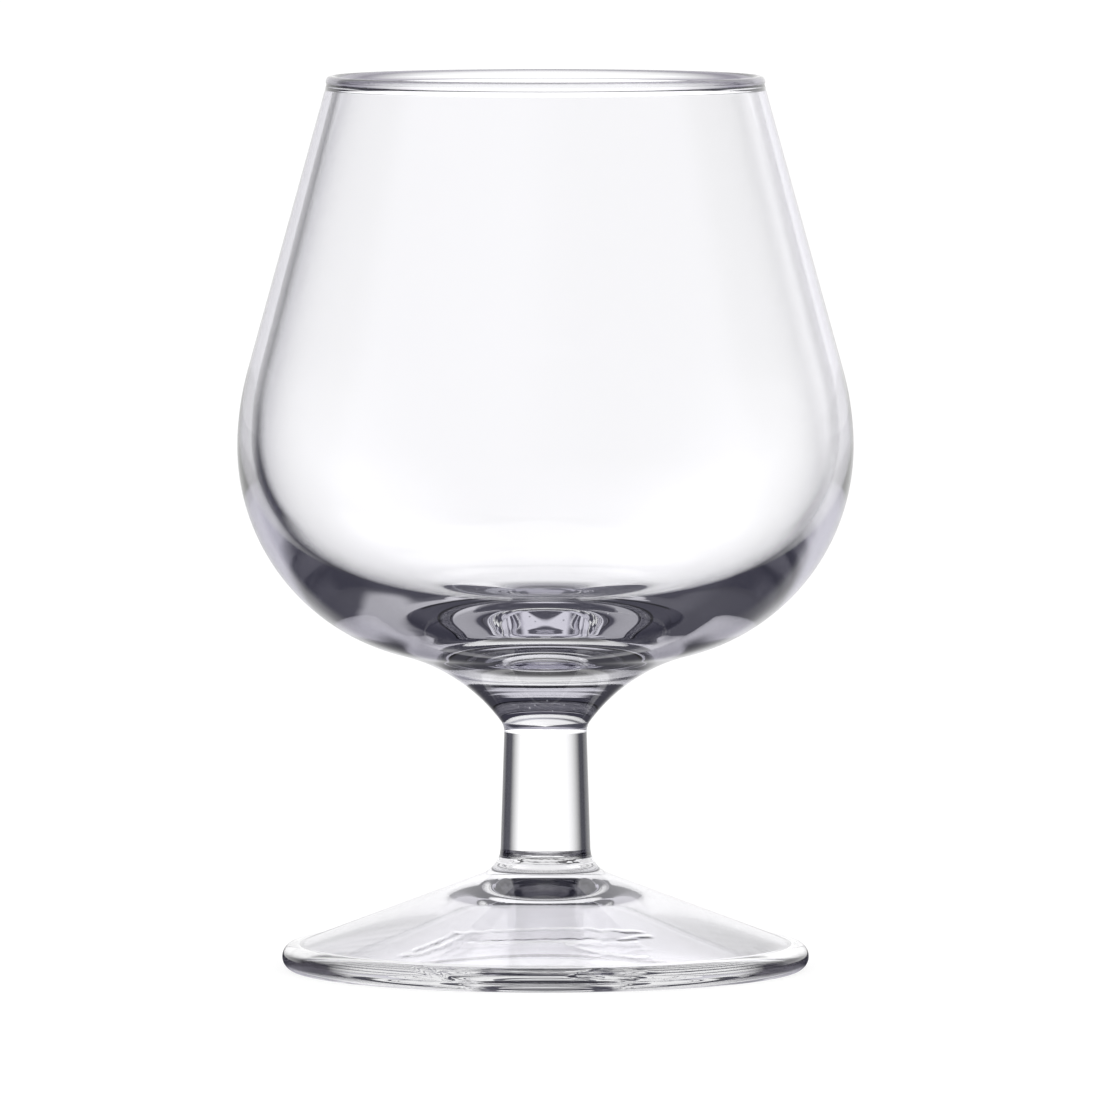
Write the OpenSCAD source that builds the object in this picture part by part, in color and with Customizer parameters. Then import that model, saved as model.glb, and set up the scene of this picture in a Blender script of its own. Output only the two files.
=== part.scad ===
// Stemmed spirit glass: a tapering bowl with a rounded base, a short stem and a wide conical foot.
// Millimetres, +Z up. The origin is the centre of the ring that the foot stands on.
// Bowl, stem and foot are formed apart and joined hot, face to face, at two level seams.

/* [Whole glass] */

// Height from the table to the top of the rim
glass_h = 118.9; // [116:0.1:124]
// Height of the seam where the stem meets the bowl
bowl_seam_z = 31.6; // [30:0.1:33]

/* [Bowl outside] */

// Widest diameter of the bowl
bowl_d = 82; // [80:0.1:84]
// Height of the widest circle above the seam
belly_h = 38; // [37:0.1:39.4]
// Radius of the curve above the widest circle, as a share of that diameter
shoulder_share = 0.462; // [0.42:0.002:0.49]
// Radius of the curve below the widest circle, as a share of that diameter
belly_share = 0.3476; // [0.336:0.0004:0.36]
// Radius of the hollow curve that leads down to the stem
flare_r = 24; // [20:0.5:30]
// Radius of the corner at the top of the stem
neck_r = 2.4; // [2:0.1:3]

/* [Bowl inside] */

// Wall thickness just below the rim
rim_wall = 1.05; // [0.9:0.05:1.3]
// Wall thickness at the widest circle
belly_wall = 1.8; // [1.6:0.1:2.4]
// How much higher the inside is widest than the outside
inner_lift = 0.9; // [0.4:0.1:1.6]
// Radius of the curve above the widest circle inside, as a share of the bowl's diameter
inner_shoulder_share = 0.456; // [0.42:0.002:0.49]
// Radius of the dished floor, as a share of the bowl's diameter
floor_share = 0.834; // [0.74:0.002:0.95]
// Height of the floor above the seam, the solid base
base_h = 13.2; // [12.4:0.1:15]

/* [Rim] */

// Outside diameter of the rounded rim
rim_d = 58.4; // [56:0.1:60]
// How far the rounded rim stands out from the wall, on each side
bead_proud = 0.2; // [0.14:0.01:0.3]

/* [Stem] */

// Diameter at the top of the stem
stem_top_d = 11; // [10:0.1:11.4]
// Diameter at the foot of the taper
stem_low_d = 11.96; // [11.5:0.01:13]
// Height where the taper ends and the spread to the foot begins
spread_z = 16.3; // [15.6:0.1:17]
// Height of the spread that belongs to the stem, above its seam with the foot
spread_h = 1.4; // [0.8:0.1:2]
// Radius of the spread from the stem to the foot
spread_r = 4; // [3.4:0.1:4.6]

/* [Foot] */

// Diameter of the foot
foot_d = 70.16; // [66:0.02:74]
// Thickness of the rounded edge
edge_d = 3.5; // [3.2:0.1:4]
// Width of the ring that stands on the table
stand_w = 1.46; // [1:0.02:2]
// How far the rounded edge stands up from the upper side
edge_proud = 0.28; // [0.1:0.02:0.5]
// Height of the hollow under the foot
hollow_h = 9.4; // [8:0.1:10]
// Radius of the hollow's rounded top, as a share of the foot's diameter
cap_share = 0.613; // [0.5:0.001:0.64]
// Where the hollow meets the rounded edge, in degrees below the edge's middle
hollow_a = 20; // [10:1:30]

/* [Hidden] */

// Segments of every circle
$fn = 180;
// Extra length of a cut past the face that it opens
overrun = 1;
// How far one curve reaches into the next, so that the two cross cleanly
lap = 0.001;
// Clear glass
glass_c = [0.87, 0.88, 0.92, 0.45];

// The point at distances rp from p and rq from q, on the left of the way from p to q
function meet(p, rp, q, rq) =
    let (v = q - p, d = norm(v), a = (rp * rp - rq * rq + d * d) / (2 * d), h = sqrt(rp * rp - a * a))
    p + a / d * v + h / d * [-v.y, v.x];

// The angle at which a line from point w touches the circle of radius r round c, on one side or the other
function touch(c, r, w, side = -1) = let (v = w - c) atan2(v.y, v.x) + side * acos(r / norm(v));

// A step of length r at angle a
function polar(r, a) = r * [cos(a), sin(a)];

// Rim
bead_d = rim_wall + 2 * bead_proud;
rim_z = glass_h - bead_d / 2;
bead_c = [rim_d / 2 - bead_d / 2, rim_z];

// Outside of the bowl: wall, shoulder, belly, flare, neck
belly_z = bowl_seam_z + belly_h;
shoulder_r = shoulder_share * bowl_d;
belly_r = belly_share * bowl_d;
wall_top = [rim_d / 2 - bead_proud, rim_z];
shoulder_c = [bowl_d / 2 - shoulder_r - lap, belly_z];
wall_a = touch(shoulder_c, shoulder_r - lap, wall_top);
wall_foot = shoulder_c + polar(shoulder_r - lap, wall_a);
belly_c = [bowl_d / 2 - belly_r, belly_z];
neck_c = [stem_top_d / 2 + neck_r, bowl_seam_z];
flare_c = meet(belly_c, belly_r + flare_r - lap, neck_c, flare_r - neck_r + lap);
belly_end = belly_c + belly_r / (belly_r + flare_r) * (flare_c - belly_c);
flare_end = flare_c + flare_r / (flare_r - neck_r) * (neck_c - flare_c);

// Inside of the bowl: floor, corner, shoulder, wall
inner_r = bowl_d / 2 - belly_wall;
inner_shoulder_r = inner_shoulder_share * bowl_d;
floor_r = floor_share * bowl_d;
floor_z = bowl_seam_z + base_h;
floor_c = [0, floor_z + floor_r];
rise = floor_c.y - belly_z - inner_lift;
corner_r = (floor_r * floor_r - inner_r * inner_r - rise * rise) / (2 * (floor_r - inner_r));
corner_x = inner_r - corner_r;
corner_c = [corner_x, floor_c.y - sqrt(pow(floor_r - corner_r + lap, 2) - corner_x * corner_x)];
floor_end = floor_c + floor_r / (floor_r - corner_r) * (corner_c - floor_c);
inner_shoulder_c = [inner_r - inner_shoulder_r - lap, corner_c.y];
inner_top = wall_top - polar(rim_wall, wall_a);
inner_a = touch(inner_shoulder_c, inner_shoulder_r - lap, inner_top);
inner_foot = inner_shoulder_c + polar(inner_shoulder_r - lap, inner_a);
inner_end = inner_top + polar(bead_d + overrun, inner_a + 90);

// Stem and foot: the spread is one curve across their seam
foot_seam_z = spread_z - spread_h;
spread_c = [stem_low_d / 2 + spread_r, spread_z];
seam_r = spread_c.x - sqrt(spread_r * spread_r - spread_h * spread_h);
edge_r = edge_d / 2;
edge_c = [foot_d / 2 - edge_r, sqrt(edge_r * edge_r - stand_w * stand_w / 4)];
cone_end = edge_c + [0, edge_r - edge_proud];
cone_a = touch(spread_c, spread_r - lap, cone_end);
cone_top = spread_c + polar(spread_r - lap, cone_a);
cone_in = cone_top - polar(spread_r / 2, cone_a + 90);

// Hollow under the foot: a rounded top, then a cone down to the edge
cap_r = cap_share * foot_d;
cap_c = [0, hollow_h - cap_r];
hollow_foot = edge_c - polar(edge_r, hollow_a);
cap_a = touch(cap_c, cap_r - lap, hollow_foot, 1);
cap_end = cap_c + polar(cap_r - lap, cap_a);
hollow_end = hollow_foot + polar(edge_r, cap_a - 90);

// A rectangle in the profile plane between two opposite corners
module block(low, high) {
    translate(low)
        square(high - low);
}

// A circle in the profile plane
module disc(c, r) {
    translate(c)
        circle(r = r);
}

// Half section of the bowl as if it were solid
module bowl_outside() {
    polygon([[0, belly_z], shoulder_c, wall_foot, wall_top, [0, rim_z]]);
    intersection() {
        disc(shoulder_c, shoulder_r);
        block([0, belly_z], [bowl_d, rim_z]);
    }
    intersection() {
        disc(belly_c, belly_r);
        block([0, bowl_seam_z], [bowl_d, rim_z]);
    }
    difference() {
        block([0, bowl_seam_z], [belly_end.x, belly_z]);
        intersection() {
            disc(flare_c, flare_r);
            block([0, flare_end.y], [bowl_d, belly_z]);
        }
        disc(neck_c, neck_r);
        block([neck_c.x, bowl_seam_z - overrun], [bowl_d, neck_c.y + neck_r]);
    }
}

// Half section of the hollow of the bowl, open at the top
module bowl_inside() {
    intersection() {
        disc(floor_c, floor_r);
        block([0, floor_z - overrun], [floor_end.x, corner_c.y]);
    }
    intersection() {
        disc(corner_c, corner_r);
        block([0, floor_z], [bowl_d, rim_z]);
    }
    intersection() {
        disc(inner_shoulder_c, inner_shoulder_r);
        block([0, corner_c.y], [bowl_d, rim_z]);
    }
    polygon([[0, corner_c.y], inner_shoulder_c, inner_foot, inner_end, [0, inner_end.y]]);
}

// Bowl: thin wall, heavy base and a rounded rim
module bowl() {
    color(glass_c)
        rotate_extrude() {
            difference() {
                bowl_outside();
                bowl_inside();
            }
            disc(bead_c, bead_d / 2);
        }
}

// Stem: a slight taper that spreads at its lower end
module stem() {
    color(glass_c)
        rotate_extrude() {
            polygon([[0, foot_seam_z], [stem_low_d / 2, foot_seam_z], [stem_low_d / 2, spread_z],
                [stem_top_d / 2, bowl_seam_z], [0, bowl_seam_z]]);
            difference() {
                block([0, foot_seam_z], [spread_c.x, spread_z]);
                disc(spread_c, spread_r);
            }
        }
}

// Half section of the foot without its edge, as if it were solid
module foot_outside() {
    difference() {
        block([0, 0], [cone_top.x, foot_seam_z]);
        disc(spread_c, spread_r);
    }
    polygon([[0, 0], [edge_c.x, 0], cone_end, cone_in, [0, cone_in.y]]);
}

// Half section of the hollow under the foot, open at the table
module foot_hollow() {
    intersection() {
        disc(cap_c, cap_r);
        block([0, -edge_d], [foot_d, foot_seam_z]);
    }
    polygon([[0, -edge_d], [hollow_end.x, -edge_d], hollow_end, cap_end]);
}

// Foot: a hollow cone with a rounded edge that is flat where it stands
module foot() {
    color(glass_c)
        rotate_extrude()
            difference() {
                union() {
                    difference() {
                        foot_outside();
                        foot_hollow();
                    }
                    disc(edge_c, edge_r);
                }
                block([0, -edge_d], [foot_d, 0]);
            }
}

bowl();
stem();
foot();
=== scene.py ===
"""Dresses a stemmed spirit glass: bowl, stem and foot of clear, faintly violet glass on a white table."""

import logging
import math
from dataclasses import dataclass
from enum import Enum
from typing import Callable, Optional, Union

import bmesh
import bpy
from mathutils import Matrix, Vector, noise


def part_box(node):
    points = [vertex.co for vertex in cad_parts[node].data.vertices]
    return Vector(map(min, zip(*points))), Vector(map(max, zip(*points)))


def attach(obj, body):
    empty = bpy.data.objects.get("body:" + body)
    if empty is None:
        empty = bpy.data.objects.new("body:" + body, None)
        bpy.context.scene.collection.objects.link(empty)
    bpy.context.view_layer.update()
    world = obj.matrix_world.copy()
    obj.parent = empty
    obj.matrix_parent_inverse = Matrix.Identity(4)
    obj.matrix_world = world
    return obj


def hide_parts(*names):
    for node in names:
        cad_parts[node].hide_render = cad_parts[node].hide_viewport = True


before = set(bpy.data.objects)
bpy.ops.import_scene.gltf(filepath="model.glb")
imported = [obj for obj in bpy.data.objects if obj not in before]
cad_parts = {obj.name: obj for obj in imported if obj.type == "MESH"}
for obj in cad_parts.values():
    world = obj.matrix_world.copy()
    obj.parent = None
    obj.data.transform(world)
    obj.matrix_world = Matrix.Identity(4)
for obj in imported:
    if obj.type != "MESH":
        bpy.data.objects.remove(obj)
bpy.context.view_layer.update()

LOG = logging.getLogger("glass")
BODY = "root"
MM = 0.001
# Points nearer the axis than this, in millimetres, lie on it
AXIS_R = 1e-6
# How far either side of the axis, in metres, the painted edge shade goes on changing, lighter on the right
LEAN_REACH = 0.02

Point = tuple[float, float]
Shift = Callable[[float, float, float], Vector]
Colour = tuple[float, float, float]
Value = Union[float, bpy.types.NodeSocket]
Tone = Union[Colour, bpy.types.NodeSocket]
Ends = tuple[Value, Value]


class Face(Enum):
    """What a stretch of a profile is finished as."""

    GLASS = "glass"
    WELD = "weld"
    JOIN = "join"
    INSIDE = "inside"
    EDGE = "edge"


class Side(Enum):
    """Which of the two tangents from a point to a circle is meant."""

    CLOCKWISE = -1
    COUNTER = 1


class Socket(Enum):
    """Kinds of socket that a shared effect has."""

    NUMBER = "NodeSocketFloat"
    COLOUR = "NodeSocketColor"
    VECTOR = "NodeSocketVector"


Finishes = dict[Face, bpy.types.Material]


def polar(radius: float, degrees: float) -> Point:
    """A step of a given length at a given angle.

    Args:
        radius: length of the step.
        degrees: its angle from the first axis.

    Returns:
        The two parts of the step.
    """
    angle = math.radians(degrees)
    return (radius * math.cos(angle), radius * math.sin(angle))


def plus(a: Point, b: Point, share: float = 1.0) -> Point:
    """Point a moved by a share of step b."""
    return (a[0] + share * b[0], a[1] + share * b[1])


def minus(a: Point, b: Point) -> Point:
    """The step from b to a."""
    return (a[0] - b[0], a[1] - b[1])


def heading(centre: Point, point: Point) -> float:
    """The angle, in degrees, at which a point lies from a centre."""
    step = minus(point, centre)
    return math.degrees(math.atan2(step[1], step[0]))


def touch(centre: Point, radius: float, point: Point, side: Side = Side.CLOCKWISE) -> float:
    """The angle at which a line from a point touches a circle.

    Args:
        centre: middle of the circle.
        radius: its radius.
        point: where the line starts.
        side: which of the two tangents.

    Returns:
        The angle of the touching point round the centre, in degrees.
    """
    step = minus(point, centre)
    return heading(centre, point) + side.value * math.degrees(math.acos(radius / math.hypot(*step)))


def meet(p: Point, p_radius: float, q: Point, q_radius: float) -> Point:
    """Where two circles cross, on the left of the way from the first to the second.

    Args:
        p: centre of the first circle.
        p_radius: its radius.
        q: centre of the second circle.
        q_radius: its radius.

    Returns:
        The crossing point.
    """
    step = minus(q, p)
    length = math.hypot(*step)
    along = (p_radius ** 2 - q_radius ** 2 + length ** 2) / (2 * length)
    across = math.sqrt(p_radius ** 2 - along ** 2)
    return plus(plus(p, step, along / length), (-step[1], step[0]), across / length)


def entry(start: Point, end: Point, centre: Point, radius: float) -> Point:
    """Where a line from a start towards an end first enters a circle.

    Args:
        start: a point outside the circle.
        end: a point inside it.
        centre: middle of the circle.
        radius: its radius.

    Returns:
        The point on the circle.
    """
    way = minus(end, start)
    back = minus(start, centre)
    a = way[0] ** 2 + way[1] ** 2
    b = way[0] * back[0] + way[1] * back[1]
    c = back[0] ** 2 + back[1] ** 2 - radius ** 2
    return plus(start, way, (-b - math.sqrt(b * b - a * c)) / a)


@dataclass(frozen=True)
class JoinGrain:
    """The grain of the hot join between stem and foot: two fine wavering grooves. Millimetres."""

    core_r: float = 1.0
    low_z: float = 13.7
    high_z: float = 15.7
    blur: float = 0.30
    grooves: Point = (14.25, 15.20)
    groove_w: float = 0.17
    groove_depth: float = 0.045
    grain_depth: float = 0.005
    pitch: float = 0.22
    waver: float = 0.14
    wave: float = 1.7

    def __call__(self, x: float, y: float, z: float) -> Vector:
        """Gives the departure of a point from a true turning.

        Args:
            x: the point, across.
            y: the point, in depth.
            z: the point, in height.

        Returns:
            The departure in millimetres.
        """
        r = math.hypot(x, y)
        if r < self.core_r or not self.low_z < z < self.high_z:
            return Vector()
        share = min(1.0, min(z - self.low_z, self.high_z - z) / self.blur)
        drift = self.waver * noise.noise(Vector((x, y, 0.0)) / self.wave)
        groove = sum(math.exp(-((z + drift - at) / self.groove_w) ** 2) for at in self.grooves)
        rough = noise.noise(Vector((x, y, z)) / self.pitch)
        return Vector((x, y, 0.0)) * (share * (self.grain_depth * rough - self.groove_depth * groove) / r)


@dataclass(frozen=True)
class Wrinkle:
    """A thin ridge that pressing has left on the foot, a curve part of the way round.

    Millimetres and degrees.
    """

    start_a: float
    start_r: float
    end_a: float
    end_r: float
    sag: float = 0.0
    height: float = 0.045
    width: float = 0.28
    waver: float = 0.50
    pitch: float = 1.6
    apart: float = 5.0

    def lift(self, x: float, y: float) -> float:
        """How high the ridge stands at a place.

        Args:
            x: the place, across.
            y: the place, in depth.

        Returns:
            The height in millimetres.
        """
        spot = Vector((x, y, 0.0)) / self.pitch
        other = spot + Vector((0.0, 0.0, self.apart))
        at = plus((x, y), (noise.noise(spot), noise.noise(other)), self.waver)
        sweep = self.end_a - self.start_a
        share = min(1.0, max(0.0, (heading((0.0, 0.0), at) - self.start_a) / sweep))
        gain = self.end_r - self.start_r
        radius = self.start_r + share * gain + self.sag * math.sin(math.pi * share)
        climb = gain + self.sag * math.pi * math.cos(math.pi * share)
        slope = climb / (radius * math.radians(abs(sweep)))
        gap = math.hypot(*minus(at, polar(radius, self.start_a + share * sweep))) / math.hypot(1.0, slope)
        return self.height * math.exp(-(gap / self.width) ** 2)


@dataclass(frozen=True)
class Seed:
    """A small round bubble in the glass. Millimetres."""

    centre: tuple[float, float, float]
    radius: float

    def add(self, mesh: bmesh.types.BMesh, slot: int) -> None:
        """Adds the bubble's wall to a piece.

        Args:
            mesh: the piece.
            slot: the material of the bubble's wall.
        """
        place = Matrix.Translation(Vector(self.centre) * MM)
        made = bmesh.ops.create_icosphere(mesh, subdivisions=3, radius=self.radius * MM, matrix=place)
        for face in {face for vertex in made["verts"] for face in vertex.link_faces}:
            face.material_index = slot
            face.smooth = True
            face.normal_flip()


class Outline:
    """The half section of one piece, drawn point by point from the axis round to the axis."""

    def __init__(self, start: Point) -> None:
        """Starts an outline.

        Args:
            start: a point on the axis.
        """
        self.points: list[Point] = [start]
        self.faces: list[Face] = []
        self.creases: set[int] = set()

    def line(self, end: Point, step: float, face: Face = Face.GLASS) -> None:
        """Draws a straight stretch.

        Args:
            end: where it goes.
            step: greatest distance between its points.
            face: how it is finished.
        """
        start = self.points[-1]
        way = minus(end, start)
        count = max(1, math.ceil(math.hypot(*way) / step))
        self.points += [plus(start, way, i / count) for i in range(1, count + 1)]
        self.faces += [face] * count

    def arc(self, centre: Point, radius: float, last: float, step: float,
            face: Face = Face.GLASS) -> None:
        """Draws a round stretch from the present point.

        Args:
            centre: middle of the arc.
            radius: its radius.
            last: angle of its end, in degrees, reached the short way round.
            step: greatest distance between its points.
            face: how it is finished.
        """
        first = heading(centre, self.points[-1])
        sweep = (last - first + 180.0) % 360.0 - 180.0
        count = max(2, math.ceil(radius * math.radians(abs(sweep)) / step))
        angles = [first + sweep * i / count for i in range(1, count + 1)]
        self.points += [plus(centre, polar(radius, angle)) for angle in angles]
        self.faces += [face] * count

    def crease(self) -> None:
        """Marks the present point as a sharp edge."""
        self.creases.add(len(self.points) - 1)

    def turn(self, name: str, segments: int, finishes: Finishes, shift: Optional[Shift] = None,
             seeds: tuple[Seed, ...] = ()) -> bpy.types.Object:
        """Turns the outline round the axis into a closed mesh.

        Args:
            name: name of the new piece.
            segments: number of steps round the axis.
            finishes: the material of each kind of face.
            shift: gives each point's small departure from a true turning, in millimetres.
            seeds: bubbles in the glass.

        Returns:
            The new object.
        """
        slots = list(finishes)
        turn = bmesh.new()
        rings: list[list[bmesh.types.BMVert]] = []
        for r, z in self.points:
            count = segments if r > AXIS_R else 1
            ring = []
            for k in range(count):
                x, y = polar(r, 360.0 * k / segments)
                place = Vector((x, y, z))
                if shift:
                    place += shift(x, y, z)
                ring.append(turn.verts.new(place * MM))
            rings.append(ring)
        for i, face in enumerate(self.faces):
            for k in range(segments):
                near, far = rings[i], rings[i + 1]
                loop = ((near, k), (near, k + 1), (far, k + 1), (far, k))
                corners = dict.fromkeys(ring[at % len(ring)] for ring, at in loop)
                made = turn.faces.new(tuple(corners))
                made.material_index = slots.index(face)
                made.smooth = True
        for i in self.creases:
            ring = rings[i]
            for k in range(segments):
                turn.edges.get((ring[k], ring[(k + 1) % segments])).smooth = False
        bmesh.ops.recalc_face_normals(turn, faces=turn.faces)
        for seed in seeds:
            seed.add(turn, slots.index(Face.GLASS))
        mesh = bpy.data.meshes.new(name)
        turn.to_mesh(mesh)
        turn.free()
        for material in finishes.values():
            mesh.materials.append(material)
        piece = bpy.data.objects.new(name, mesh)
        bpy.context.scene.collection.objects.link(piece)
        return piece


class Graph:
    """A node tree, with short ways to add the steps that effects and studio are made of."""

    def __init__(self, tree: bpy.types.NodeTree) -> None:
        """Starts with an empty tree."""
        tree.nodes.clear()
        self.tree = tree

    def node(self, kind: str) -> bpy.types.Node:
        """Adds a node of a kind."""
        return self.tree.nodes.new(kind)

    def link(self, source: bpy.types.NodeSocket, target: bpy.types.NodeSocket) -> None:
        """Joins two sockets."""
        self.tree.links.new(source, target)

    def put(self, value: Union[Value, Tone], slot: bpy.types.NodeSocket) -> None:
        """Gives a socket a number, a colour or what another socket holds.

        Args:
            value: the number, colour or other socket.
            slot: the socket that gets it.
        """
        if isinstance(value, bpy.types.NodeSocket):
            self.link(value, slot)
        else:
            slot.default_value = (*value, 1.0) if isinstance(value, tuple) else value

    def sums(self, operation: str, first: Value, second: Value = 0.0) -> bpy.types.NodeSocket:
        """Adds one step of arithmetic.

        Args:
            operation: which arithmetic.
            first: a socket or a number.
            second: a socket or a number.

        Returns:
            The socket with the result.
        """
        node = self.node("ShaderNodeMath")
        node.operation = operation
        self.put(first, node.inputs[0])
        self.put(second, node.inputs[1])
        return node.outputs["Value"]

    def times(self, first: Value, *others: Value) -> bpy.types.NodeSocket:
        """Multiplies two or more numbers.

        Args:
            first: a socket or a number.
            others: more of them.

        Returns:
            The socket with the product.
        """
        result = first
        for other in others:
            result = self.sums("MULTIPLY", result, other)
        return result

    def ramp(self, value: bpy.types.NodeSocket, ends: Ends, levels: Ends) -> bpy.types.NodeSocket:
        """Adds a smooth step from one level to another.

        Args:
            value: what the step follows.
            ends: where the step starts and ends.
            levels: its level before and after.

        Returns:
            The socket with the level.
        """
        node = self.node("ShaderNodeMapRange")
        node.interpolation_type = "SMOOTHSTEP"
        self.link(value, node.inputs["Value"])
        for name, number in zip(("From Min", "From Max", "To Min", "To Max"), (*ends, *levels)):
            self.put(number, node.inputs[name])
        return node.outputs["Result"]

    def hill(self, value: bpy.types.NodeSocket, rise: Point, fall: Point) -> bpy.types.NodeSocket:
        """Adds a smooth step up to one and down again.

        Args:
            value: what it follows.
            rise: where the step up starts and ends.
            fall: where the step down starts and ends.

        Returns:
            The socket with the level.
        """
        return self.times(self.ramp(value, rise, (0.0, 1.0)), self.ramp(value, fall, (1.0, 0.0)))

    def tone(self, share: bpy.types.NodeSocket, none: Tone, full: Tone) -> bpy.types.NodeSocket:
        """Adds a blend of two colours.

        Args:
            share: how much of the second shows.
            none: the first, a socket or a colour.
            full: the second, a socket or a colour.

        Returns:
            The socket with the colour.
        """
        node = self.node("ShaderNodeMix")
        node.data_type = "RGBA"
        self.link(share, node.inputs["Factor"])
        self.put(none, node.inputs[6])
        self.put(full, node.inputs[7])
        return node.outputs[2]

    def pick(self, share: bpy.types.NodeSocket, none: Value, full: Value) -> bpy.types.NodeSocket:
        """Adds a blend of two numbers.

        Args:
            share: how much of the second counts.
            none: the first, a socket or a number.
            full: the second, a socket or a number.

        Returns:
            The socket with the number.
        """
        rest = self.times(self.sums("SUBTRACT", 1.0, share), none)
        return self.sums("ADD", rest, self.times(share, full))

    def flat(self, vector: bpy.types.NodeSocket) -> bpy.types.NodeSocket:
        """Lays a direction down on the level and gives it length one.

        Args:
            vector: the direction.

        Returns:
            The socket with the level direction.
        """
        lay, unit = (self.node("ShaderNodeVectorMath") for _ in range(2))
        lay.operation, unit.operation = "MULTIPLY", "NORMALIZE"
        self.link(vector, lay.inputs[0])
        lay.inputs[1].default_value = (1.0, 1.0, 0.0)
        self.link(lay.outputs["Vector"], unit.inputs[0])
        return unit.outputs["Vector"]

    def axes(self, vector: bpy.types.NodeSocket) -> tuple[bpy.types.NodeSocket, ...]:
        """Takes a vector apart.

        Args:
            vector: the vector.

        Returns:
            The sockets with its three numbers.
        """
        node = self.node("ShaderNodeSeparateXYZ")
        self.link(vector, node.inputs["Vector"])
        return tuple(node.outputs[axis] for axis in "XYZ")

    def use(self, effect: "Effect", **values: Union[Value, Tone]) -> bpy.types.NodeSocket:
        """Adds a shared effect.

        Args:
            effect: which effect.
            values: what its inputs get, by name.

        Returns:
            The socket with its result.
        """
        node = self.node("ShaderNodeGroup")
        node.node_tree = effect.tree
        for name, value in values.items():
            self.put(value, node.inputs[name])
        return node.outputs["result"]


class Effect(Graph):
    """A shader node group with one result, shared by several materials."""

    def __init__(self, name: str, result: Socket, **inputs: Socket) -> None:
        """Makes a group without steps.

        Args:
            name: name of the group.
            result: what kind of socket the result is.
            inputs: the kind of each input, by name.
        """
        super().__init__(bpy.data.node_groups.new(name, "ShaderNodeTree"))
        sockets = self.tree.interface
        for title, kind in inputs.items():
            sockets.new_socket(title, in_out="INPUT", socket_type=kind.value)
        sockets.new_socket("result", in_out="OUTPUT", socket_type=result.value)
        self.given = self.node("NodeGroupInput").outputs
        self.result = self.node("NodeGroupOutput").inputs["result"]


def ripple_effect() -> Effect:
    """Makes the surface of fire-polished glass: a faint slow ripple and finer drawn cords.

    Returns:
        The effect, whose result is a height.
    """
    effect = Effect("fire_polish_ripple", Socket.NUMBER, ripple_scale=Socket.NUMBER,
                    cord_scale=Socket.NUMBER, cord_share=Socket.NUMBER)
    place = effect.node("ShaderNodeTexCoord").outputs["Object"]
    slow, fine = (effect.node("ShaderNodeTexNoise") for _ in range(2))
    slow.inputs["Detail"].default_value = 1.0
    fine.inputs["Detail"].default_value = 2.0
    drawn = effect.node("ShaderNodeMapping")
    drawn.inputs["Scale"].default_value = (1.0, 1.0, 0.15)
    blend = effect.node("ShaderNodeMix")
    effect.link(place, slow.inputs["Vector"])
    effect.link(place, drawn.inputs["Vector"])
    effect.link(drawn.outputs["Vector"], fine.inputs["Vector"])
    effect.link(effect.given["ripple_scale"], slow.inputs["Scale"])
    effect.link(effect.given["cord_scale"], fine.inputs["Scale"])
    effect.link(effect.given["cord_share"], blend.inputs["Factor"])
    effect.link(slow.outputs["Fac"], blend.inputs["A"])
    effect.link(fine.outputs["Fac"], blend.inputs["B"])
    effect.link(blend.outputs["Result"], effect.result)
    return effect


def edge_shade_effect() -> Effect:
    """Makes the glass's own faint violet, turning edge-on into painted shade, less on level faces and on
    the right.

    Returns:
        The effect, whose result is a colour.
    """
    names = ("facing", "start", "full", "steep", "level", "lean")
    effect = Effect("painted_edge_shade", Socket.COLOUR, tint=Socket.COLOUR, edge_tint=Socket.COLOUR,
                    **{name: Socket.NUMBER for name in names})
    facing, start, full, steep, level, lean = (effect.given[name] for name in names)
    lie = effect.node("ShaderNodeNewGeometry")
    rise = effect.sums("ABSOLUTE", effect.axes(lie.outputs["Normal"])[2])
    across = effect.axes(lie.outputs["Position"])[0]
    edge = effect.ramp(facing, (start, full), (0.0, 1.0))
    wall = effect.ramp(rise, (steep, level), (1.0, 0.0))
    uneven = effect.ramp(across, (-LEAN_REACH, LEAN_REACH), (1.0, lean))
    share = effect.times(edge, wall, uneven)
    effect.link(effect.tone(share, effect.given["tint"], effect.given["edge_tint"]), effect.result)
    return effect


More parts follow.
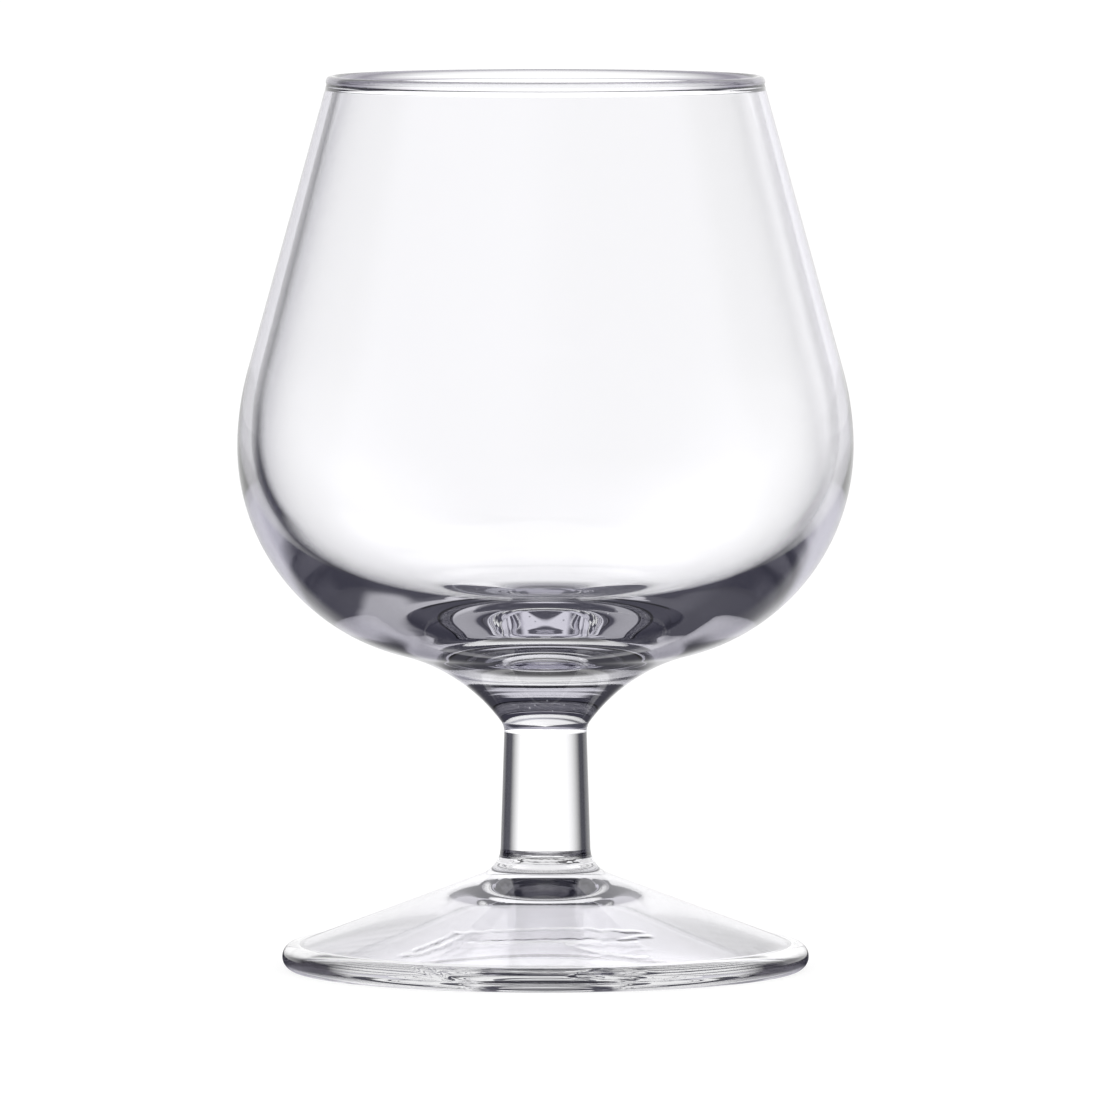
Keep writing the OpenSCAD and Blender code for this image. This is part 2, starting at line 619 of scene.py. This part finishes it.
@dataclass(frozen=True)
class GlassFinish:
    """Clear glass with its own faint violet tint, which turns into darker painted shade where it is seen
    edge-on.
    """

    name: str
    edge_tint: Colour
    edge_start: float
    edge_full: float
    tint: Colour = (0.985, 0.984, 0.992)
    steep: float = 1.0
    level: float = 1.5
    lean: float = 1.0
    ior: float = 1.52
    ripple_scale: float = 40.0
    cord_scale: float = 220.0
    cord_share: float = 0.2
    ripple_depth_mm: float = 0.002

    def build(self, ripple: Effect, painted_shade: Effect) -> bpy.types.Material:
        """Makes the material.

        Args:
            ripple: the polished surface.
            painted_shade: the glass's own colour, turning into painted shade edge-on.

        Returns:
            The new material.
        """
        material = bpy.data.materials.new(self.name)
        material.use_nodes = True
        graph = Graph(material.node_tree)
        glass = graph.node("ShaderNodeBsdfPrincipled")
        glass.inputs["Roughness"].default_value = 0.0
        glass.inputs["IOR"].default_value = self.ior
        glass.inputs["Transmission Weight"].default_value = 1.0
        facing = graph.node("ShaderNodeLayerWeight")
        facing.inputs["Blend"].default_value = 0.5
        colour = graph.use(painted_shade, tint=self.tint, edge_tint=self.edge_tint, facing=facing.outputs["Facing"],
                           start=self.edge_start, full=self.edge_full, steep=self.steep, level=self.level,
                           lean=self.lean)
        bump = graph.node("ShaderNodeBump")
        bump.inputs["Strength"].default_value = 1.0
        bump.inputs["Distance"].default_value = self.ripple_depth_mm * MM
        height = graph.use(ripple, ripple_scale=self.ripple_scale, cord_scale=self.cord_scale,
                           cord_share=self.cord_share)
        graph.link(colour, glass.inputs["Base Color"])
        graph.link(height, bump.inputs["Height"])
        graph.link(bump.outputs["Normal"], glass.inputs["Normal"])
        graph.link(glass.outputs["BSDF"], graph.node("ShaderNodeOutputMaterial").inputs["Surface"])
        return material


@dataclass(frozen=True)
class WeldFinish:
    """The join between two pieces, where the glass is one.

    Where its front is partly opaque it is a painted dark sheet: painted shade on the join over the foot,
    seen from below.
    """

    name: str
    painted_shade_opacity: float = 0.0
    # Colour of the painted dark sheet: painted shade
    painted_shade: Colour = (0.10, 0.10, 0.13)

    def build(self) -> bpy.types.Material:
        """Makes the material: light passes it as if no face were there, except what the painted dark sheet
        stops from the front.

        Returns:
            The new material.
        """
        material = bpy.data.materials.new(self.name)
        material.use_nodes = True
        nodes, links = material.node_tree.nodes, material.node_tree.links
        face = nodes["Principled BSDF"]
        face.inputs["Base Color"].default_value = (*self.painted_shade, 1.0)
        face.inputs["Roughness"].default_value = 1.0
        face.inputs["Specular IOR Level"].default_value = 0.0
        turned = nodes.new("ShaderNodeNewGeometry")
        share = nodes.new("ShaderNodeMapRange")
        share.inputs["To Min"].default_value = self.painted_shade_opacity
        share.inputs["To Max"].default_value = 0.0
        links.new(turned.outputs["Backfacing"], share.inputs["Value"])
        links.new(share.outputs["Result"], face.inputs["Alpha"])
        return material


@dataclass
class Bowl:
    """The bowl: thin wall, rounded rim and heavy base. Sizes in millimetres."""

    seam_z: float
    top_z: float
    diameter: float
    stem_top_d: float
    belly_h: float = 38.0
    shoulder_share: float = 0.462
    belly_share: float = 0.3476
    flare_r: float = 24.0
    neck_r: float = 2.4
    rim_wall: float = 1.05
    belly_wall: float = 1.8
    inner_lift: float = 0.9
    inner_shoulder_share: float = 0.456
    floor_share: float = 0.834
    base_h: float = 13.2
    rim_d: float = 58.4
    bead_proud: float = 0.2
    fine_step: float = 0.15
    step: float = 0.9
    segments: int = 256
    seeds: tuple[Seed, ...] = (
        Seed((8.1, -30.6, 49.8), 0.16),
        Seed((-2.0, -6.6, 35.6), 0.13),
        Seed((-1.3, -6.2, 36.3), 0.10),
        Seed((0.9, -6.7, 35.1), 0.10),
        Seed((2.3, -6.3, 36.2), 0.12),
        Seed((-3.4, -5.7, 35.9), 0.09),
        Seed((3.6, -5.6, 35.4), 0.10),
        Seed((0.2, -7.2, 36.9), 0.09),
    )

    def outline(self) -> Outline:
        """Draws the half section: inside, rim, outside, join.

        Returns:
            The half section.
        """
        half = self.diameter / 2
        belly_z = self.seam_z + self.belly_h
        bead_r = self.rim_wall / 2 + self.bead_proud
        rim_z = self.top_z - bead_r
        bead_c = (self.rim_d / 2 - bead_r, rim_z)
        shoulder_r = self.shoulder_share * self.diameter
        belly_r = self.belly_share * self.diameter
        wall_top = (self.rim_d / 2 - self.bead_proud, rim_z)
        shoulder_c = (half - shoulder_r, belly_z)
        wall_a = touch(shoulder_c, shoulder_r, wall_top)
        wall_foot = plus(shoulder_c, polar(shoulder_r, wall_a))
        belly_c = (half - belly_r, belly_z)
        neck_c = (self.stem_top_d / 2 + self.neck_r, self.seam_z)
        flare_c = meet(belly_c, belly_r + self.flare_r, neck_c, self.flare_r - self.neck_r)
        inner_r = half - self.belly_wall
        floor_r = self.floor_share * self.diameter
        floor_z = self.seam_z + self.base_h
        floor_c = (0.0, floor_z + floor_r)
        rise = floor_c[1] - belly_z - self.inner_lift
        corner_r = (floor_r ** 2 - inner_r ** 2 - rise ** 2) / (2 * (floor_r - inner_r))
        corner_c = (inner_r - corner_r, belly_z + self.inner_lift)
        inner_shoulder_r = self.inner_shoulder_share * self.diameter
        inner_shoulder_c = (inner_r - inner_shoulder_r, corner_c[1])
        inner_top = plus(wall_top, polar(self.rim_wall, wall_a), -1.0)
        inner_a = touch(inner_shoulder_c, inner_shoulder_r, inner_top)
        inner_foot = plus(inner_shoulder_c, polar(inner_shoulder_r, inner_a))

        draw = Outline((0.0, floor_z))
        draw.arc(floor_c, floor_r, heading(floor_c, corner_c), self.step, Face.INSIDE)
        draw.arc(corner_c, corner_r, 0.0, self.step, Face.INSIDE)
        draw.arc(inner_shoulder_c, inner_shoulder_r, inner_a, self.step, Face.INSIDE)
        draw.line(entry(inner_foot, inner_top, bead_c, bead_r), self.step, Face.INSIDE)
        draw.arc(bead_c, bead_r, 90.0, self.fine_step, Face.EDGE)
        outer_end = entry(wall_foot, wall_top, bead_c, bead_r)
        draw.arc(bead_c, bead_r, heading(bead_c, outer_end), self.fine_step, Face.EDGE)
        draw.line(wall_foot, self.step)
        draw.arc(shoulder_c, shoulder_r, 0.0, self.step)
        draw.arc(belly_c, belly_r, heading(belly_c, flare_c), self.step)
        draw.arc(flare_c, self.flare_r, heading(flare_c, neck_c), self.step / 2)
        draw.arc(neck_c, self.neck_r, 180.0, self.fine_step)
        draw.crease()
        draw.line((0.0, self.seam_z), self.stem_top_d, Face.WELD)
        return draw

    def build(self, finishes: Finishes) -> bpy.types.Object:
        """Makes and dresses the bowl.

        Args:
            finishes: the material of each kind of face.

        Returns:
            The bowl.
        """
        return self.outline().turn("bowl_of_glass", self.segments, finishes, seeds=self.seeds)


@dataclass
class Stem:
    """The short stem, which spreads at its lower end. Sizes in millimetres."""

    top_z: float
    low_z: float
    top_d: float = 11.0
    low_d: float = 11.96
    spread_z: float = 16.3
    spread_r: float = 4.0
    fine_step: float = 0.09
    step: float = 0.9
    segments: int = 384

    def spread_c(self) -> Point:
        """Middle of the curve from the stem to the foot."""
        return (self.low_d / 2 + self.spread_r, self.spread_z)

    def seam_r(self) -> float:
        """Radius of the join with the foot."""
        drop = self.spread_z - self.low_z
        return self.spread_c()[0] - math.sqrt(self.spread_r ** 2 - drop ** 2)

    def outline(self) -> Outline:
        """Draws the half section from the upper join to the lower.

        Returns:
            The half section.
        """
        spread_c = self.spread_c()
        draw = Outline((0.0, self.top_z))
        draw.line((self.top_d / 2, self.top_z), self.top_d, Face.WELD)
        draw.crease()
        draw.line((self.low_d / 2, self.spread_z), self.step)
        draw.arc(spread_c, self.spread_r, heading(spread_c, (self.seam_r(), self.low_z)), self.fine_step)
        draw.crease()
        draw.line((0.0, self.low_z), self.low_d, Face.JOIN)
        return draw

    def build(self, finishes: Finishes) -> bpy.types.Object:
        """Makes and dresses the stem.

        Args:
            finishes: the material of each kind of face.

        Returns:
            The stem.
        """
        return self.outline().turn("drawn_stem", self.segments, finishes, JoinGrain())


@dataclass
class Foot:
    """The conical foot, hollow beneath, with a rounded edge that is flat where it stands.

    Sizes in millimetres.
    """

    stem: Stem
    diameter: float
    edge_d: float = 3.5
    stand_w: float = 1.46
    edge_proud: float = 0.28
    hollow_h: float = 9.4
    cap_share: float = 0.613
    hollow_a: float = 20.0
    upper_z: float = 3.7
    wrinkled: Point = (20.0, 32.0)
    fine_step: float = 0.13
    step: float = 0.35
    segments: int = 384
    grain: JoinGrain = JoinGrain()
    wrinkles: tuple[Wrinkle, ...] = (
        Wrinkle(-127.0, 31.0, -120.0, 24.4),
        Wrinkle(-127.0, 31.0, -115.0, 23.9, 1.8),
        Wrinkle(-120.0, 24.4, -58.0, 23.9, -1.6),
        Wrinkle(-57.0, 25.0, -83.0, 27.0),
        Wrinkle(-83.0, 27.0, -65.0, 31.0, 0.8),
    )

    def edge_c(self) -> Point:
        """Middle of the rounded edge."""
        edge_r = self.edge_d / 2
        return (self.diameter / 2 - edge_r, math.sqrt(edge_r ** 2 - self.stand_w ** 2 / 4))

    def cone_end(self) -> Point:
        """Where the line of the upper side ends, above the middle of the edge."""
        return plus(self.edge_c(), (0.0, self.edge_d / 2 - self.edge_proud))

    def cone_a(self) -> float:
        """The angle, in degrees, at which the upper side leaves the spread of the stem."""
        return touch(self.stem.spread_c(), self.stem.spread_r, self.cone_end())

    def relief(self) -> Shift:
        """Makes the uneven surface: grain of the join, wrinkles of the upper side.

        Returns:
            A function that gives each point's departure from a true turning.
        """
        out, up = polar(-1.0, self.cone_a())
        nearest, farthest = self.wrinkled

        def shift(x: float, y: float, z: float) -> Vector:
            """Gives the departure of one point.

            Args:
                x: the point, across.
                y: the point, in depth.
                z: the point, in height.

            Returns:
                The departure in millimetres.
            """
            place = self.grain(x, y, z)
            r = math.hypot(x, y)
            if y < 0.0 and z > self.upper_z and nearest < r < farthest:
                lift = max(wrinkle.lift(x, y) for wrinkle in self.wrinkles)
                place += Vector((out * x / r, out * y / r, up)) * lift
            return place

        return shift

    def outline(self) -> Outline:
        """Draws the half section: join, upper side, edge, standing ring, hollow.

        Returns:
            The half section.
        """
        stem = self.stem
        spread_c = stem.spread_c()
        edge_r, edge_c = self.edge_d / 2, self.edge_c()
        cone_end, cone_a = self.cone_end(), self.cone_a()
        cone_top = plus(spread_c, polar(stem.spread_r, cone_a))
        cap_r = self.cap_share * self.diameter
        cap_c = (0.0, self.hollow_h - cap_r)
        hollow_foot = plus(edge_c, polar(edge_r, 180.0 + self.hollow_a))
        cap_a = touch(cap_c, cap_r, hollow_foot, Side.COUNTER)
        cap_end = plus(cap_c, polar(cap_r, cap_a))
        stand_out = (edge_c[0] + self.stand_w / 2, 0.0)
        stand_in = (edge_c[0] - self.stand_w / 2, 0.0)

        draw = Outline((0.0, stem.low_z))
        draw.line((stem.seam_r(), stem.low_z), stem.low_d, Face.WELD)
        draw.crease()
        draw.arc(spread_c, stem.spread_r, cone_a, self.fine_step)
        draw.line(entry(cone_top, cone_end, edge_c, edge_r), self.step)
        draw.arc(edge_c, edge_r, 0.0, self.fine_step, Face.EDGE)
        draw.arc(edge_c, edge_r, heading(edge_c, stand_out), self.fine_step, Face.EDGE)
        draw.line(stand_in, self.step, Face.EDGE)
        draw.arc(edge_c, edge_r, 180.0 + self.hollow_a, self.fine_step, Face.EDGE)
        draw.line(cap_end, self.step)
        draw.arc(cap_c, cap_r, 90.0, self.step)
        return draw

    def build(self, finishes: Finishes) -> bpy.types.Object:
        """Makes and dresses the foot.

        Args:
            finishes: the material of each kind of face.

        Returns:
            The foot.
        """
        return self.outline().turn("conical_foot", self.segments, finishes, self.relief())


class Ways:
    """Masks that tell apart the ways that light has come through the glass.

    They go by how often the light was mirrored and how many faces it has passed.
    """

    LEAST_TURNS = (0.5, 1.5, 3.5, 6.5)
    GUIDED_TURNS = (6.5, 9.5)
    LEAST_FACES = 2.5

    def __init__(self, graph: Graph) -> None:
        """Reads the light's path.

        Args:
            graph: where the nodes go.
        """
        path = graph.node("ShaderNodeLightPath")
        turns, faces = path.outputs["Glossy Depth"], path.outputs["Transmission Depth"]
        self.camera = path.outputs["Is Camera Ray"]
        self.direct = graph.sums("MAXIMUM", self.camera, path.outputs["Is Diffuse Ray"])
        self.once, self.twice, self.often, self.many = (
            graph.sums("GREATER_THAN", turns, least) for least in self.LEAST_TURNS)
        self.guided = graph.ramp(turns, self.GUIDED_TURNS, (0.0, 1.0))
        self.thick = graph.sums("GREATER_THAN", faces, self.LEAST_FACES)
        self.echo = graph.times(self.once, self.thick)
        self.plain = graph.sums("SUBTRACT", 1.0, graph.sums("MAXIMUM", self.once, self.thick))


@dataclass(frozen=True)
class Outlook:
    """What the glass shows of each direction.

    Light that is not mirrored sees white. Mirrored light sees white behind the glass, a dimmer front and
    dark sides, and light that was mirrored often sees a few bright patches. Ends are the parts of a
    direction of length one between which a change takes place.
    """

    tilt: float = 0.10
    tilt_reach: float = 0.60
    gain: float = 0.14
    gain_ends: Point = (0.03, 0.14)
    fade: float = 0.06
    fade_ends: Point = (0.20, 0.75)
    left_end: Point = (-0.76, -0.58)
    right_end: Point = (0.72, 0.86)
    front_ends: Point = (-0.30, 0.05)
    side_ends: Point = (-0.40, 0.40)
    broad_ends: Point = (0.10, 0.45)
    patch: float = 0.62
    patch_rise: Point = (0.34, 0.46)
    patch_fall: Point = (0.58, 0.70)
    low_ends: Point = (0.45, 0.65)
    above_rise: Point = (0.58, 0.66)
    above_fall: Point = (0.93, 0.97)
    middle_ends: Point = (0.34, 0.46)
    narrow_ends: Point = (0.29, 0.36)
    wide_ends: Point = (0.45, 0.55)
    past_ends: Point = (-0.45, -0.05)
    dim: Colour = (0.045, 0.044, 0.062)
    side: Colour = (0.42, 0.42, 0.47)
    front: Colour = (0.46, 0.45, 0.52)
    bright_front: Colour = (0.66, 0.65, 0.72)
    overhead: Colour = (0.74, 0.73, 0.80)
    flank: Colour = (0.68, 0.67, 0.72)

    def build(self) -> Effect:
        """Makes the effect.

        Returns:
            The effect, whose result is a colour.
        """
        names = ("bright", "once", "echo", "often", "many", "guided")
        effect = Effect("studio_outlook", Socket.COLOUR, way=Socket.VECTOR,
                        **{name: Socket.NUMBER for name in names})
        bright, once, echo, often, many, guided = (effect.given[name] for name in names)
        z = effect.axes(effect.given["way"])[2]
        x, y, _ = effect.axes(effect.flat(effect.given["way"]))
        aside, steep = effect.sums("ABSOLUTE", x), effect.sums("ABSOLUTE", z)
        tilt = effect.ramp(x, (-self.tilt_reach, self.tilt_reach), (1.0 - self.tilt, 1.0 + self.tilt))

        gain = effect.ramp(aside, self.gain_ends, (1.0, 1.0 + self.gain))
        fade = effect.ramp(aside, self.fade_ends, (1.0, 1.0 - self.fade))
        ends = effect.hill(x, self.left_end, self.right_end)
        white = effect.tone(ends, self.dim, effect.times(bright, tilt, fade))
        forward = effect.ramp(y, self.front_ends, (1.0, 0.0))
        mirrored = effect.tone(forward, white, self.front)
        lit = effect.tone(once, effect.times(bright, tilt, gain), mirrored)
        beside = effect.tone(effect.ramp(x, self.side_ends, (0.0, 1.0)), self.dim, self.side)
        shown = effect.tone(echo, lit, beside)

        broad = effect.ramp(aside, self.broad_ends, (0.0, 1.0))
        patch = effect.times(effect.hill(x, self.patch_rise, self.patch_fall), self.patch)
        low = effect.ramp(z, self.low_ends, (1.0, 0.0))
        flank = effect.times(effect.pick(guided, broad, patch), many, low)
        above = effect.hill(z, self.above_rise, self.above_fall)
        middle = effect.ramp(aside, self.middle_ends, (1.0, 0.0))
        overhead = effect.times(above, middle, effect.sums("SUBTRACT", 1.0, guided))
        behind = effect.tone(overhead, effect.tone(flank, self.dim, self.flank), self.overhead)
        narrow = effect.ramp(steep, self.narrow_ends, (1.0, 0.0))
        wide = effect.ramp(steep, self.wide_ends, (1.0, 0.0))
        before = effect.tone(effect.pick(guided, narrow, wide), self.dim, self.bright_front)
        past = effect.ramp(y, self.past_ends, (1.0, 0.0))
        effect.link(effect.tone(often, shown, effect.tone(past, behind, before)), effect.result)
        return effect


@dataclass(frozen=True)
class Table:
    """The table: white to the camera with a soft shadow, shaded near the glass as seen through it.

    Metres. Ends are the distances from the glass's axis between which a change takes place.
    """

    radius: float = 5.0
    corners: int = 96
    white: float = 0.80
    paper: Colour = (0.25, 0.25, 0.25)
    shade: float = 0.10
    under: float = 0.50
    under_ends: Point = (0.024, 0.031)
    hollow: float = 0.85
    open_ends: Point = (0.033, 0.050)
    light: float = 1.15
    full: float = 1.09
    full_ends: Point = (0.050, 0.300)
    middle: float = 0.50
    middle_ends: Point = (0.014, 0.022)
    turned: float = 0.88
    ring_rise: Point = (0.029, 0.033)
    ring_fall: Point = (0.041, 0.046)
    beyond_ends: Point = (0.060, 0.160)
    clear_ends: Point = (0.046, 0.060)

    def level(self, graph: Graph, ways: Ways, reach: bpy.types.NodeSocket) -> bpy.types.NodeSocket:
        """Adds how bright the table is as seen through the glass.

        Args:
            graph: where the nodes go.
            ways: masks of how the light came.
            reach: the distance from the axis.

        Returns:
            The socket with the brightness.
        """
        # Painted shade and light, shown only through the glass: darker under and round the foot, a painted
        # lighter ring, white farther out
        beneath = graph.ramp(reach, self.under_ends, (self.shade, self.under))
        under = graph.pick(ways.plain, beneath, self.hollow)
        far = graph.ramp(reach, self.full_ends, (self.light, self.full))
        straight = graph.pick(graph.ramp(reach, self.open_ends, (0.0, 1.0)), under, far)
        middle = graph.ramp(reach, self.middle_ends, (self.middle, self.shade))
        ring = graph.hill(reach, self.ring_rise, self.ring_fall)
        beyond = graph.ramp(reach, self.beyond_ends, (0.0, 1.0))
        turned = graph.pick(graph.sums("MAXIMUM", ring, beyond), middle, self.turned)
        return graph.pick(ways.once, straight, turned)

    def finish(self, outlook: Effect) -> bpy.types.Material:
        """Makes the material.

        Args:
            outlook: what the glass shows of each direction.

        Returns:
            The new material.
        """
        material = bpy.data.materials.new("white_table")
        material.use_nodes = True
        graph = Graph(material.node_tree)
        ways = Ways(graph)
        place = graph.node("ShaderNodeNewGeometry").outputs["Position"]
        length, way = (graph.node("ShaderNodeVectorMath") for _ in range(2))
        length.operation, way.operation = "LENGTH", "NORMALIZE"
        graph.link(place, length.inputs[0])
        graph.link(place, way.inputs[0])
        reach = length.outputs["Value"]
        clear = graph.ramp(reach, self.clear_ends, (0.0, 1.0))
        shown = graph.use(outlook, way=way.outputs["Vector"], bright=self.level(graph, ways, reach),
                          once=ways.once, echo=graph.times(ways.echo, clear),
                          often=graph.times(ways.often, clear), many=ways.many, guided=ways.guided)
        seen, white = (graph.node("ShaderNodeEmission") for _ in range(2))
        graph.link(shown, seen.inputs["Color"])
        white.inputs["Strength"].default_value = self.white
        paper = graph.node("ShaderNodeBsdfDiffuse")
        graph.put(self.paper, paper.inputs["Color"])
        lit = graph.node("ShaderNodeAddShader")
        graph.link(white.outputs["Emission"], lit.inputs[0])
        graph.link(paper.outputs["BSDF"], lit.inputs[1])
        both = graph.node("ShaderNodeMixShader")
        graph.link(ways.camera, both.inputs["Fac"])
        graph.link(seen.outputs["Emission"], both.inputs[1])
        graph.link(lit.outputs["Shader"], both.inputs[2])
        graph.link(both.outputs["Shader"], graph.node("ShaderNodeOutputMaterial").inputs["Surface"])
        return material

    def build(self, outlook: Effect) -> None:
        """Makes and dresses the table.

        Args:
            outlook: what the glass shows of each direction.
        """
        steps = range(self.corners)
        corners = [(*polar(self.radius, 360.0 * k / self.corners), 0.0) for k in steps]
        mesh = bpy.data.meshes.new("table")
        mesh.from_pydata(corners, [], [tuple(steps)])
        mesh.materials.append(self.finish(outlook))
        table = bpy.data.objects.new("table", mesh)
        bpy.context.scene.collection.objects.link(table)


@dataclass(frozen=True)
class Surroundings:
    """The room: plain white to the eye and on the table, with light and dark sides in the glass.

    Ends are the heights of a direction of length one between which a change takes place.
    """

    plain: Colour = (1.0, 1.0, 1.0)
    glow: float = 1.28
    turned_glow: float = 1.08
    shade: float = 0.10
    high_ends: Point = (0.75, 0.90)
    echo_ends: Point = (0.42, 0.70)

    def build(self, outlook: Effect) -> None:
        """Makes the room's light.

        Args:
            outlook: what the glass shows of each direction.
        """
        world = bpy.data.worlds.new("studio")
        bpy.context.scene.world = world
        world.use_nodes = True
        graph = Graph(world.node_tree)
        ways = Ways(graph)
        way = graph.node("ShaderNodeTexCoord").outputs["Generated"]
        z = graph.axes(way)[2]
        high = graph.ramp(z, self.high_ends, (self.turned_glow, self.shade))
        level = graph.pick(ways.once, self.glow, graph.pick(ways.twice, self.turned_glow, high))
        echo = graph.times(ways.echo, graph.ramp(z, self.echo_ends, (1.0, 0.0)))
        shown = graph.use(outlook, way=way, bright=level, once=ways.once, echo=echo, often=ways.often,
                          many=ways.many, guided=ways.guided)
        air = graph.node("ShaderNodeBackground")
        graph.link(graph.tone(ways.direct, shown, self.plain), air.inputs["Color"])
        graph.link(air.outputs["Background"], graph.node("ShaderNodeOutputWorld").inputs["Surface"])


@dataclass(frozen=True)
class Viewpoint:
    """The camera, at the photograph's viewing angle. Metres, with lens and sensor in millimetres."""

    place: tuple[float, float, float] = (0.0, -1.850, 0.177)
    target: tuple[float, float, float] = (0.0006, 0.0, 0.0558)
    lens: float = 456.05
    sensor: float = 36.0
    farthest: float = 100.0

    def build(self) -> None:
        """Places the camera."""
        data = bpy.data.cameras.new("camera")
        data.lens = self.lens
        data.sensor_width = self.sensor
        data.clip_end = self.farthest
        camera = bpy.data.objects.new("camera", data)
        bpy.context.scene.collection.objects.link(camera)
        camera.location = self.place
        aim = Vector(self.target) - camera.location
        camera.rotation_euler = aim.to_track_quat("-Z", "Y").to_euler()
        bpy.context.scene.camera = camera


@dataclass(frozen=True)
class Studio:
    """Table, room and camera, with enough bounces for light that is mirrored often in the base."""

    bounces: int = 32
    turns: int = 24

    def build(self) -> None:
        """Builds the whole studio."""
        scene = bpy.context.scene
        scene.view_settings.view_transform = "Standard"
        scene.cycles.max_bounces = self.bounces
        scene.cycles.transmission_bounces = self.bounces
        scene.cycles.glossy_bounces = self.turns
        outlook = Outlook().build()
        Viewpoint().build()
        Table().build(outlook)
        Surroundings().build(outlook)


def seat(piece: bpy.types.Object, node: str) -> None:
    """Puts a dressed piece in the place of its solid.

    Args:
        piece: the dressed piece.
        node: the solid that it stands for.
    """
    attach(piece, BODY)
    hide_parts(node)
    LOG.info("%s stands for %s: %d faces", piece.name, node, len(piece.data.polygons))


def main() -> None:
    """Builds the studio, then the pieces from the rim down."""
    logging.basicConfig(level=logging.INFO, format="%(message)s")
    Studio().build()
    bowl_low, bowl_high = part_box("bowl")
    stem_low, stem_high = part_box("stem")
    foot_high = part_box("foot")[1]
    stem = Stem(top_z=stem_high.z / MM, low_z=stem_low.z / MM)
    bowl = Bowl(seam_z=bowl_low.z / MM, top_z=bowl_high.z / MM, diameter=2 * bowl_high.x / MM,
                stem_top_d=stem.top_d)
    foot = Foot(stem=stem, diameter=2 * foot_high.x / MM)
    effects = (ripple_effect(), edge_shade_effect())
    # Each finish's edge colour is painted shade that darkens the glass where it is seen edge-on; the
    # bowl's and foot's keep some of the glass's own violet
    skin = GlassFinish("clear_bowl", edge_tint=(0.38, 0.36, 0.50), edge_start=0.42, edge_full=1.0)
    hollow = GlassFinish("clear_hollow", edge_tint=(0.004, 0.004, 0.008), edge_start=0.68, edge_full=0.79,
                         steep=0.50, level=0.80, lean=0.45)
    rim = GlassFinish("clear_rim", edge_tint=(0.14, 0.13, 0.17), edge_start=0.03, edge_full=0.52)
    edge = GlassFinish("clear_edge", edge_tint=(0.010, 0.009, 0.013), edge_start=0.27, edge_full=0.45,
                       steep=0.35, level=0.75)
    drawn = GlassFinish("clear_stem", edge_tint=(0.008, 0.008, 0.011), edge_start=0.05, edge_full=0.42)
    pressed = GlassFinish("clear_foot", tint=(0.965, 0.958, 0.992), edge_tint=(0.30, 0.29, 0.34),
                          edge_start=0.80, edge_full=1.0)
    fused = WeldFinish("fused_join").build()
    # The stem's lower join is a mostly opaque painted dark sheet: painted shade seen from below through
    # the foot
    dim = WeldFinish("painted_shade_join", painted_shade_opacity=0.85).build()
    bowl_faces = {Face.GLASS: skin.build(*effects), Face.WELD: fused, Face.INSIDE: hollow.build(*effects),
                  Face.EDGE: rim.build(*effects)}
    stem_faces = {Face.GLASS: drawn.build(*effects), Face.WELD: fused, Face.JOIN: dim}
    foot_faces = {Face.GLASS: pressed.build(*effects), Face.WELD: fused, Face.EDGE: edge.build(*effects)}
    seat(bowl.build(bowl_faces), "bowl")
    seat(stem.build(stem_faces), "stem")
    seat(foot.build(foot_faces), "foot")


if __name__ == "__main__":
    main()
